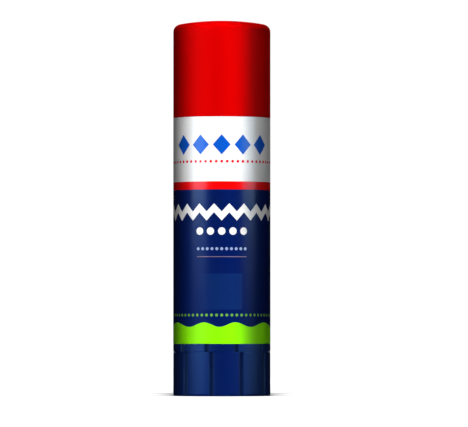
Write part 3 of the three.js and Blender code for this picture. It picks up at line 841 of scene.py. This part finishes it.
# A zigzag line of even thickness
zigzag, zigzag_in, zigzag_out = new_group(
    "Zigzag",
    [("Around", "NodeSocketFloat", 0), ("Height", "NodeSocketFloat", 0), ("Middle", "NodeSocketFloat", 0),
     ("Pitch", "NodeSocketFloat", 4), ("Swing", "NodeSocketFloat", 1), ("Thickness", "NodeSocketFloat", 1)],
    [("Mask", "NodeSocketFloat")])
half_pitch = sum_of(zigzag, "DIVIDE", zigzag_in["Pitch"], 2.0)
to_and_fro = sum_of(zigzag, "PINGPONG", zigzag_in["Around"], half_pitch)
from_middle = sum_of(zigzag, "SUBTRACT", sum_of(zigzag, "DIVIDE", to_and_fro, zigzag_in["Pitch"]), 0.25)
line_height = sum_of(zigzag, "MULTIPLY", from_middle, sum_of(zigzag, "MULTIPLY", zigzag_in["Swing"], 4.0))
off_middle = sum_of(zigzag, "SUBTRACT", zigzag_in["Height"], zigzag_in["Middle"])
off_line = sum_of(zigzag, "ABSOLUTE", sum_of(zigzag, "SUBTRACT", off_middle, line_height))
half_thickness = sum_of(zigzag, "DIVIDE", zigzag_in["Thickness"], 2.0)
zigzag.links.new(inside_of(zigzag, sum_of(zigzag, "SUBTRACT", half_thickness, off_line)),
                 zigzag_out["Mask"])

printed_film = bpy.data.materials.new("printed film")
printed_film.use_nodes = True
print_tree = printed_film.node_tree
spot = made(print_tree, "ShaderNodeGroup", node_tree=place_on_stick).outputs


def mark_mask(middle, pitch, half_width, half_height, power, reach):
    """Where a row of marks is printed, out to a reach on both sides of the front."""
    return made(print_tree, "ShaderNodeGroup", {
        "Around": spot["Around"], "Height": spot["Height"], "Middle": middle, "Pitch": pitch,
        "Half width": half_width, "Half height": half_height, "Power": power, "Reach": reach,
    }, node_tree=marks).outputs["Mask"]


def dot_mask(middle, pitch, radius, reach):
    """Where a row of round dots is printed."""
    return mark_mask(middle, pitch, radius, radius, 2.0, reach)


def band_mask(low, high):
    """Where a band is printed between two heights."""
    return made(print_tree, "ShaderNodeGroup", {"Height": spot["Height"], "From": low, "To": high},
                node_tree=band).outputs["Mask"]


def front_mask(half_width):
    """The part of the print within a distance of the front's middle."""
    return sum_of(print_tree, "LESS_THAN", sum_of(print_tree, "ABSOLUTE", spot["Around"]), half_width)


def inked(under, mask, colour):
    """One more ink over the print so far."""
    return made(print_tree, "ShaderNodeMix", {"Factor": mask, 6: under, 7: (*colour, 1)},
                data_type="RGBA").outputs[2]


# All measures of the print are in millimetres, as the groups' are
label_round = math.tau * outside_radius / mm
all_round = 40.0
white_ink = (0.9, 0.9, 0.9)
red_ink = (0.82, 0.001, 0.001)
navy_ink = (0.001, 0.0092, 0.09)
lime_ink = (0.25, 0.84, 0.002)
blue_ink = (0.003, 0.09, 0.55)
pale_blue_ink = (0.3, 0.38, 0.6)
grey_pink_ink = (0.22, 0.15, 0.2)
green_ink = (0.14, 0.38, 0.03)
faint_navy_ink = (0.0033, 0.0195, 0.117)
above_label = 80.0
white_band_bottom = 54.78
red_stripe_bottom = 52.75
panel_bottom, panel_top = 22.05, 31.3
panel_half_width = 5.4
panel_full_from = -1.4
zigzag_count = 20
red_dot_count = 56
green_dot_count = 60
underline_bottom, underline_top = 35.49, 35.66
underline_half_width = 6.6
wave_count = 8.0
wave_gather = 0.85
wave_turn = math.radians(156)
wave_swing = 0.58
wave_middle = 18.25
cut_edge = math.radians(overlap_degrees - 180) * outside_radius / mm
strip_from_cut, strip_half_width, strip_strength = 0.2, 0.16, 0.6
# Where the thin darker line beside the cut edge lies, how wide it is, and how dark
dark_line_from_cut, dark_line_half_width, dark_line_strength = -0.06, 0.08, 0.5

# The waves are closer together on the front and back than at the sides
front_angle = sum_of(print_tree, "DIVIDE", spot["Around"], outside_radius / mm)
drawn_in = sum_of(print_tree, "SINE", sum_of(print_tree, "MULTIPLY", front_angle, 2.0))
wave_angle = sum_of(print_tree, "ADD", sum_of(print_tree, "MULTIPLY", front_angle, wave_count),
                    sum_of(print_tree, "MULTIPLY", drawn_in, wave_gather))
wave_rise = sum_of(print_tree, "COSINE", sum_of(print_tree, "SUBTRACT", wave_angle, wave_turn))
wave_height = sum_of(print_tree, "ADD", sum_of(print_tree, "MULTIPLY", wave_rise, wave_swing), wave_middle)
wave_mask = inside_of(print_tree, sum_of(print_tree, "SUBTRACT", wave_height, spot["Height"]))

zigzag_mask = made(print_tree, "ShaderNodeGroup", {
    "Around": spot["Around"], "Height": spot["Height"], "Middle": 47.0, "Pitch": label_round / zigzag_count,
    "Swing": 1.05, "Thickness": 2.3}, node_tree=zigzag).outputs["Mask"]
panel_tint = made(print_tree, "ShaderNodeMapRange", {
    "Value": spot["Around"], "From Min": -panel_half_width, "From Max": panel_full_from, "To Min": 0.3,
    "To Max": 1.0}, interpolation_type="SMOOTHSTEP").outputs[0]
panel_mask = sum_of(print_tree, "MULTIPLY", band_mask(panel_bottom, panel_top),
                    sum_of(print_tree, "MULTIPLY", panel_tint, front_mask(panel_half_width)))
underline_mask = sum_of(print_tree, "MULTIPLY", band_mask(underline_bottom, underline_top),
                        front_mask(underline_half_width))

# Beside the outer end at the back lie a strip of bare film and a thin darker line along the step
past_cut = sum_of(print_tree, "SUBTRACT", spot["Around"], cut_edge)
on_strip = sum_of(print_tree, "COMPARE", past_cut, strip_from_cut, strip_half_width)
on_dark_line = sum_of(print_tree, "COMPARE", past_cut, dark_line_from_cut, dark_line_half_width)
bare_strip = sum_of(print_tree, "MULTIPLY", on_strip, strip_strength)
dark_line = sum_of(print_tree, "MULTIPLY", on_dark_line, dark_line_strength)

ink = (*navy_ink, 1)
for mask, colour in (
        (band_mask(white_band_bottom, above_label), white_ink),
        (band_mask(red_stripe_bottom, white_band_bottom), red_ink),
        (mark_mask(middle=64.2, pitch=5.6, half_width=2.3, half_height=2.6, power=1.0, reach=14.5), blue_ink),
        (dot_mask(middle=59.9, pitch=label_round / red_dot_count, radius=0.36, reach=all_round), red_ink),
        (zigzag_mask, white_ink),
        (dot_mask(middle=42.1, pitch=2.9, radius=0.95, reach=7.5), white_ink),
        (dot_mask(middle=37.6, pitch=1.25, radius=0.38, reach=6.9), pale_blue_ink),
        (underline_mask, grey_pink_ink),
        (panel_mask, faint_navy_ink),
        (dot_mask(middle=20.7, pitch=label_round / green_dot_count, radius=0.36, reach=all_round), green_ink),
        (wave_mask, lime_ink),
        (bare_strip, white_ink),
        (dark_line, grey_pink_ink)):
    ink = inked(ink, mask, colour)

film_surface = made(print_tree, "ShaderNodeGroup",
                    {"Colour": ink, "Cloud": 0.03, "Roughness": 0.24, "Drag": 0.08}, node_tree=moulded)
film_bump = made(print_tree, "ShaderNodeBump",
                 {"Height": film_surface.outputs["Height"], "Distance": 0.004 * mm})
film_shader = print_tree.nodes["Principled BSDF"]
film_shader.inputs["Specular IOR Level"].default_value = 0.15
film_shader.inputs["Specular Tint"].default_value = (0.65, 0.87, 1, 1)
print_tree.links.new(film_surface.outputs["Colour"], film_shader.inputs["Base Color"])
print_tree.links.new(film_surface.outputs["Roughness"], film_shader.inputs["Roughness"])
print_tree.links.new(film_bump.outputs[0], film_shader.inputs["Normal"])
label = finished("printed_label", label_shape, printed_film, "barrel", "label")

# Cap
# The cap is one moulding in red polypropylene: a cup with a low domed top, whose bore slides over the
# barrel's neck, with a ring inside that plugs the mouth and gussets that stiffen it.
cap_bottom = 71.42 * mm
cap_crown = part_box("cap")[1].z
crown_rise = 1.2 * mm
crown_round = 1.55 * mm
crown_steps = 8
cap_bore = 11.5 * mm
cap_ceiling = cap_crown - crown_rise - 1.2 * mm
mouth_flare = 0.25 * mm
plug_radius = 10.1 * mm
plug_inside = 9.3 * mm
plug_end = mouth - mm
gate_radius = 1.25 * mm
gate_depth = 0.15 * mm
gate_stub_radius = 0.3 * mm
gate_stub_depth = 0.08 * mm
gusset_count = 6
gusset_thickness = 0.8 * mm
# Painted light on the crown: where its red starts to brighten and where it is full, in millimetres, and how
# much brighter
crown_light_from, crown_light_full = 93.6, 95.2
painted_crown_lift = 1.33

dome_radius = (outside_radius ** 2 + crown_rise ** 2) / (2 * crown_rise)
dome = [(radius, cap_crown - dome_radius + math.sqrt(dome_radius ** 2 - radius ** 2))
        for radius in (outside_radius * step / crown_steps for step in range(crown_steps + 1))]
cap_shape = turned([
    (0, cap_ceiling, 0),
    (plug_inside, cap_ceiling, 0.3 * mm),
    (plug_inside, plug_end, 0.1 * mm),
    (plug_radius - 0.3 * mm, plug_end, 0.15 * mm),
    (plug_radius, plug_end + 1.2 * mm, 0.3 * mm),
    (plug_radius, cap_ceiling, 0.3 * mm),
    (cap_bore, cap_ceiling, 0.4 * mm),
    (cap_bore, bead_middle + bead_half_width, 0.1 * mm),
    (cap_bore + bead_rise, bead_middle + bead_crest_half_width, 0.1 * mm),
    (cap_bore + bead_rise, bead_middle - bead_crest_half_width, 0.1 * mm),
    (cap_bore, bead_middle - bead_half_width, 0.1 * mm),
    (cap_bore, cap_bottom + 0.5 * mm, 0.15 * mm),
    (cap_bore + mouth_flare, cap_bottom, 0.1 * mm),
    (outside_radius, cap_bottom, 0.12 * mm),
    (outside_radius, 80 * mm, 0),
    (*dome[crown_steps], crown_round),
    *[(radius, height, None) for radius, height in dome[crown_steps - 2:0:-1]],
    (gate_radius, cap_crown - 0.012 * mm, 0),
    (gate_radius - 0.1 * mm, cap_crown - gate_depth, 0),
    (gate_stub_radius + 0.1 * mm, cap_crown - gate_depth, 0),
    (gate_stub_radius, cap_crown - gate_stub_depth, 0),
    (0, cap_crown - gate_stub_depth, 0),
], steps=360)
radial_bars(cap_shape, gusset_count, 0, plug_radius - 0.3 * mm, cap_bore + 0.3 * mm, gusset_thickness,
            mouth + 0.3 * mm, cap_ceiling + 0.4 * mm)
red_plastic = moulded_plastic("red polypropylene", (0.6, 0.0001, 0.0002), cloud=0.08, roughness=0.5,
                              drag_marks=0.35, relief=0.005 * mm, gloss=0.01)
red_tree = red_plastic.node_tree
red_shader = red_tree.nodes["Principled BSDF"]
red_shader.inputs["Specular Tint"].default_value = (1, 0.2, 0.2, 1)
# The crown's red is made brighter than the side's, as painted light. The change is between two heights in
# millimetres.
cap_height = made(red_tree, "ShaderNodeGroup", node_tree=place_on_stick).outputs["Height"]
painted_crown_light = made(red_tree, "ShaderNodeMapRange", {
    "Value": cap_height, "From Min": crown_light_from, "From Max": crown_light_full, "To Min": 1.0,
    "To Max": painted_crown_lift}, interpolation_type="SMOOTHSTEP")
plain_red = red_shader.inputs["Base Color"].links[0].from_socket
red_with_painted_light = made(red_tree, "ShaderNodeVectorMath", {"Vector": plain_red, "Scale": painted_crown_light.outputs[0]},
                operation="SCALE")
red_tree.links.new(red_with_painted_light.outputs[0], red_shader.inputs["Base Color"])
cap = finished("cap_moulding", cap_shape, red_plastic, "cap", "cap")
